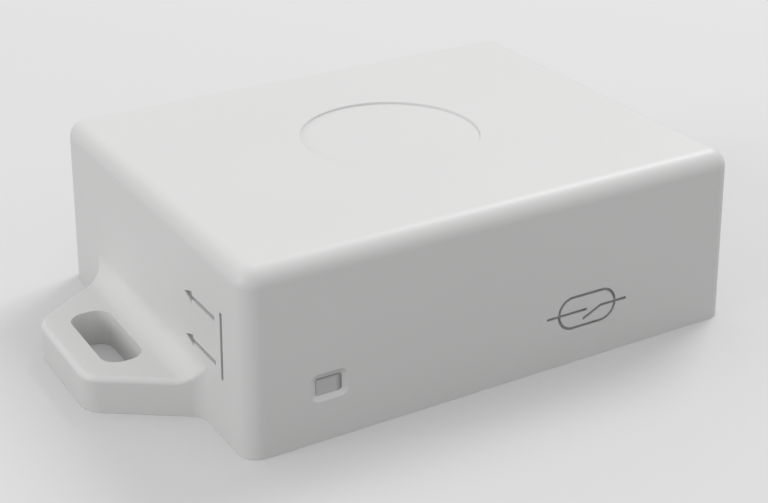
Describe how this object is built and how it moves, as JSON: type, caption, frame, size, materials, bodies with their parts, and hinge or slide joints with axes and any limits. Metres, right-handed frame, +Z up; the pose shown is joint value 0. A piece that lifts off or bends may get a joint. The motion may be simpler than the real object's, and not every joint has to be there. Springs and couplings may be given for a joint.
{
  "type": "wireless sensor tag",
  "caption": "Small white wireless tag: a rounded, drafted box with a slotted fixing lug at one end, a light window and an engraved contact symbol, closed by a screwed cover below.",
  "frame": {"origin": "centre of the box's flat underside, not counting the lug", "axes": "+X along the long side, away from the lug; +Y away from the wall with the light window; +Z up, from the screwed cover to the top"},
  "size_m": [0.071, 0.0482, 0.0203],
  "materials": {
    "housing": "satin",
    "light_guide": "frosted",
    "gasket": "matte",
    "screw_steel": "satin",
    "insert_brass": "satin",
    "foam": "matte",
    "board": "satin",
    "cell_steel": "satin",
    "cell_sleeve": "gloss",
    "washer": "matte",
    "contact_metal": "satin",
    "reed_glass": "clear",
    "button_plastic": "matte",
    "diode": "gloss",
    "module_board": "satin",
    "shield": "satin",
    "chip_black": "matte",
    "antenna": "gloss",
    "coil": "matte",
    "reservoir": "satin",
    "ceramic": "satin",
    "pin_gold": "polished"
  },
  "bodies": {
    "housing": {"housing_shell": "housing", "light_guide": "light_guide", "thread_inserts": "insert_brass", "circuit_board": "board", "board_screws": "screw_steel", "positive_contact": "contact_metal", "negative_contact": "contact_metal", "reed_glass": "reed_glass", "reed_fixed_lead": "contact_metal", "reed_outer_lead": "contact_metal", "button_body": "contact_metal", "status_diode": "diode", "radio_board": "module_board", "radio_shield": "shield", "radio_chip": "chip_black", "chip_antenna": "antenna", "memory_chip": "chip_black", "motion_sensor": "chip_black", "voltage_regulator": "chip_black", "power_coil": "coil", "reservoir_capacitor": "reservoir", "crystal": "shield", "header_body": "button_plastic", "header_pins": "pin_gold", "chip_capacitors": "ceramic", "chip_resistors": "chip_black", "test_pads": "pin_gold"},
    "cover": {"bottom_cover": "housing", "cover_gasket": "gasket", "cover_screws": "screw_steel", "foam_pad": "foam"},
    "battery": {"cell_can": "cell_steel", "cell_sleeve": "cell_sleeve", "cell_button": "cell_steel", "cell_washer": "washer"},
    "button": {"button_cap": "button_plastic"},
    "reed_blade": {"reed_moving_blade": "contact_metal"}
  },
  "joints": [
    {"name": "cover_lift", "type": "slide", "parent": "housing", "child": "cover", "axis": [0, 0, -1], "range_m": [0, 0.045]},
    {"name": "battery_lift", "type": "slide", "parent": "housing", "child": "battery", "axis": [0, 0, -1], "range_m": [0, 0.027]},
    {"name": "button_press", "type": "slide", "parent": "housing", "child": "button", "axis": [0, 0, 1], "range_m": [0, 0.0002], "stiffness_N_per_m": 4000},
    {"name": "reed_close", "type": "hinge", "parent": "housing", "child": "reed_blade", "pos_m": [0.01474, -0.0187, 0.00586], "axis": [0, 1, 0], "range_deg": [0, 1.7], "stiffness_Nm_per_rad": 0.008}
  ],
  "couplings": [
    {"joint": "battery_lift", "follows": "cover_lift", "ratio": 0.6}
  ]
}
